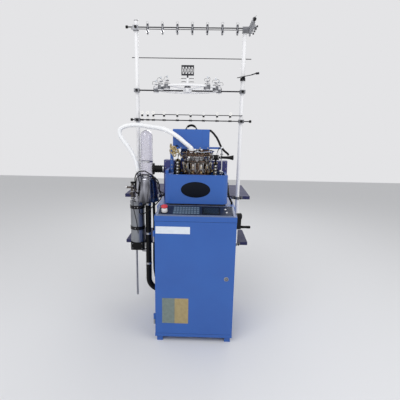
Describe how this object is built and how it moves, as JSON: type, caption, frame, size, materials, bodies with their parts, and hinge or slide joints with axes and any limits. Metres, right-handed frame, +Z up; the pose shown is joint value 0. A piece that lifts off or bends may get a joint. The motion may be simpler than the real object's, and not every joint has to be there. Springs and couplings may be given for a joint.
{
  "type": "sock knitting machine",
  "caption": "Cylinder sock knitting machine: steel cabinet with console and door, open knitting head, lint suction column at the left, and a tall yarn creel with shelves behind.",
  "frame": {"origin": "on the floor under the middle of the cabinet", "axes": "+Z up, -Y out of the cabinet's door and console towards the operator, +X to the operator's right"},
  "size_m": [1.0685, 1.117, 2.318],
  "materials": {
    "blue_paint": "satin",
    "navy_paint": "satin",
    "console_paint": "satin",
    "shelf_paint": "satin",
    "black_paint": "satin",
    "box_paint": "satin",
    "motor_paint": "satin",
    "white_paint": "satin",
    "console_glass": "gloss",
    "stainless": "polished",
    "machined_steel": "satin",
    "dark_steel": "satin",
    "zinc": "satin",
    "chrome": "polished",
    "bed_iron": "satin",
    "bronze": "satin",
    "brass": "satin",
    "filter_metal": "satin",
    "black_plastic": "matte",
    "white_plastic": "gloss",
    "red_plastic": "gloss",
    "clear_acrylic": "gloss",
    "hose_plastic": "satin",
    "rubber": "matte",
    "eyelet_ceramic": "gloss"
  },
  "bodies": {
    "machine": {"base_skids": "blue_paint", "cabinet_body": "blue_paint", "hinge_pins": "zinc", "console_housing": "console_paint", "control_panel": "console_glass", "estop_collar": "white_plastic", "crank_bearing": "bed_iron", "drive_motor": "motor_paint", "drive_belt": "rubber", "control_box": "box_paint", "suction_fan": "filter_metal", "head_casing": "blue_paint", "rear_housing": "navy_paint", "bed_frame": "bed_iron", "cam_ring": "bronze", "valve_banks": "black_plastic", "sinker_ring": "dark_steel", "dial_cap": "bronze", "dial_bracket": "blue_paint", "finger_block": "brass", "air_horn": "black_plastic", "guide_rod": "chrome", "top_box": "blue_paint", "top_handle": "black_plastic", "collector_can": "stainless", "clear_tube": "clear_acrylic", "side_hose": "rubber", "filter_cylinder": "filter_metal", "filter_straps": "black_paint", "valve_box": "black_plastic", "drain_pipe": "zinc", "suction_pipe": "black_plastic", "air_valve": "dark_steel", "white_hose": "hose_plastic", "black_cables": "rubber", "creel_posts": "white_paint", "post_clamps": "dark_steel", "shelves": "shelf_paint", "creel_rods": "machined_steel", "tensioner_set": "machined_steel", "yarn_ring": "white_paint", "creel_guides": "zinc", "eyelet_set": "eyelet_ceramic"},
    "door": {"door_panel": "blue_paint", "lock_barrel": "chrome"},
    "lock": {"lock_cam": "zinc"},
    "estop": {"estop_head": "red_plastic"},
    "start_key": {"start_button": "white_plastic"},
    "stop_key": {"stop_button": "white_plastic"},
    "crank": {"main_shaft": "machined_steel", "crank_arm": "black_paint"},
    "grip": {"crank_grip": "black_plastic"},
    "cylinder": {"cylinder_shaft": "machined_steel", "needle_cylinder": "machined_steel"},
    "dial": {"dial": "machined_steel"},
    "motor_rotor": {"motor_pulley": "machined_steel"},
    "finger_1": {"yarn_finger_1": "brass"},
    "finger_2": {"yarn_finger_2": "brass"},
    "finger_3": {"yarn_finger_3": "brass"},
    "valve": {"valve_knob": "black_plastic"}
  },
  "joints": [
    {"name": "door_swing", "type": "hinge", "parent": "machine", "child": "door", "pos_m": [-0.2855, -0.25, 0.5], "axis": [0, 0, 1], "range_deg": [-110, 0]},
    {"name": "lock_turn", "type": "hinge", "parent": "door", "child": "lock", "pos_m": [0.222, -0.25, 0.502], "axis": [0, -1, 0], "range_deg": [0, 90]},
    {"name": "estop_press", "type": "slide", "parent": "machine", "child": "estop", "axis": [0, 0.2272, -0.9738], "range_m": [0, 0.004], "stiffness_N_per_m": 2500},
    {"name": "start_press", "type": "slide", "parent": "machine", "child": "start_key", "axis": [0, 0.2272, -0.9738], "range_m": [0, 0.0015], "stiffness_N_per_m": 800},
    {"name": "stop_press", "type": "slide", "parent": "machine", "child": "stop_key", "axis": [0, 0.2272, -0.9738], "range_m": [0, 0.0015], "stiffness_N_per_m": 800},
    {"name": "crank_turn", "type": "hinge", "parent": "machine", "child": "crank", "pos_m": [0.2, 0.04, 0.88], "axis": [1, 0, 0], "continuous": true},
    {"name": "grip_spin", "type": "hinge", "parent": "crank", "child": "grip", "pos_m": [0.35, 0.04, 0.796], "axis": [1, 0, 0], "continuous": true},
    {"name": "cylinder_spin", "type": "hinge", "parent": "machine", "child": "cylinder", "pos_m": [0, 0.04, 1.1], "axis": [0, 0, 1], "continuous": true},
    {"name": "dial_spin", "type": "hinge", "parent": "machine", "child": "dial", "pos_m": [0, 0.04, 1.35], "axis": [0, 0, 1], "continuous": true},
    {"name": "motor_spin", "type": "hinge", "parent": "machine", "child": "motor_rotor", "pos_m": [0.2, 0.04, 0.152], "axis": [1, 0, 0], "continuous": true},
    {"name": "finger_1_swing", "type": "hinge", "parent": "machine", "child": "finger_1", "pos_m": [-0.15, -0.014, 1.37], "axis": [0, 1, 0], "range_deg": [-6, 10]},
    {"name": "finger_2_swing", "type": "hinge", "parent": "machine", "child": "finger_2", "pos_m": [-0.15, 0, 1.37], "axis": [0, 1, 0], "range_deg": [-6, 10]},
    {"name": "finger_3_swing", "type": "hinge", "parent": "machine", "child": "finger_3", "pos_m": [-0.15, 0.014, 1.37], "axis": [0, 1, 0], "range_deg": [-6, 10]},
    {"name": "valve_knob_turn", "type": "hinge", "parent": "machine", "child": "valve", "pos_m": [-0.496, 0.09, 1.11], "axis": [0, 0, 1], "range_deg": [0, 270]}
  ],
  "couplings": [
    {"joint": "cylinder_spin", "follows": "crank_turn", "ratio": -1},
    {"joint": "dial_spin", "follows": "crank_turn", "ratio": -1},
    {"joint": "motor_spin", "follows": "crank_turn", "ratio": 2}
  ]
}
